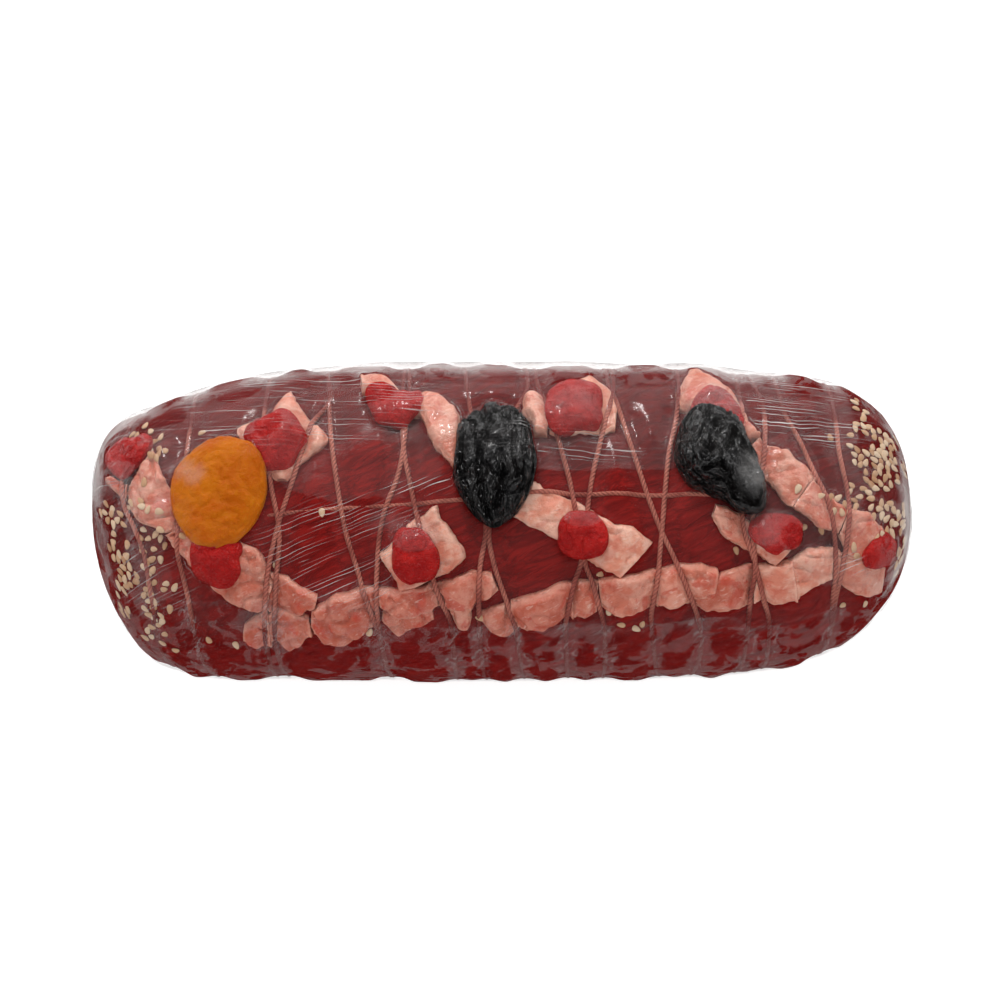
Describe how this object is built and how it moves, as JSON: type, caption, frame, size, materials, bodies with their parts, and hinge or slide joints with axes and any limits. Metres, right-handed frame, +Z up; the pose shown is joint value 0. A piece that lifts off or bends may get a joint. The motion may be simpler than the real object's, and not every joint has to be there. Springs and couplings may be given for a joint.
{
  "type": "stuffed roast",
  "caption": "Raw stuffed roast: a long roll of lean meat tied with twine and dressed with fat strips, red fruit, prunes, a dried apricot and sesame, in tight cling film.",
  "frame": {"origin": "middle of the bounding box's bottom, on the surface that the roast lies on", "axes": "+X along the roast to its right end, +Y to its far side, +Z up; the fruits are on top"},
  "size_m": [0.285, 0.1116, 0.0983],
  "materials": {
    "meat": "raw lean meat, wet and fibrous, under tight clear film",
    "fat": "raw fat, salmon pink, soft sheen",
    "red_fruit": "translucent red fruit, moist",
    "prune": "black wrinkled prune, glossy",
    "apricot": "orange dried apricot, satin",
    "twine": "two-ply cotton twine, stained pink by the meat",
    "sesame": "sesame seeds, beige",
    "film": "thin clear cling film, stretched and creased"
  },
  "bodies": {
    "root": {"apricot": "apricot", "fat_band_1": "fat", "fat_band_2": "fat", "fat_band_3": "fat", "fat_band_4": "fat", "fat_below_prune_2": "fat", "fat_beside_fruit_3": "fat", "fat_far_hook": "fat", "fat_left_band": "fat", "fat_left_end": "fat", "fat_left_fold": "fat", "fat_left_tip": "fat", "fat_row_1": "fat", "fat_row_2": "fat", "fat_row_3": "fat", "fat_row_4": "fat", "fat_row_4_lower": "fat", "fat_row_5": "fat", "fat_row_5_nub": "fat", "fat_row_6": "fat", "fat_strip_1": "fat", "fat_strip_2": "fat", "fat_strip_3": "fat", "fat_strip_4": "fat", "fat_strip_5": "fat", "fat_strip_6": "fat", "fat_strip_7": "fat", "fat_strip_8": "fat", "fat_under_fruit_1": "fat", "fat_under_fruit_3": "fat", "fat_under_fruit_4": "fat", "fat_under_fruit_5": "fat", "meat": "meat", "prune_1": "prune", "prune_2": "prune", "red_fruit_1": "red_fruit", "red_fruit_10": "red_fruit", "red_fruit_2": "red_fruit", "red_fruit_3": "red_fruit", "red_fruit_4": "red_fruit", "red_fruit_5": "red_fruit", "red_fruit_6": "red_fruit", "red_fruit_7": "red_fruit", "red_fruit_8": "red_fruit", "red_fruit_9": "red_fruit", "twine": "twine"}
  },
  "joints": []
}
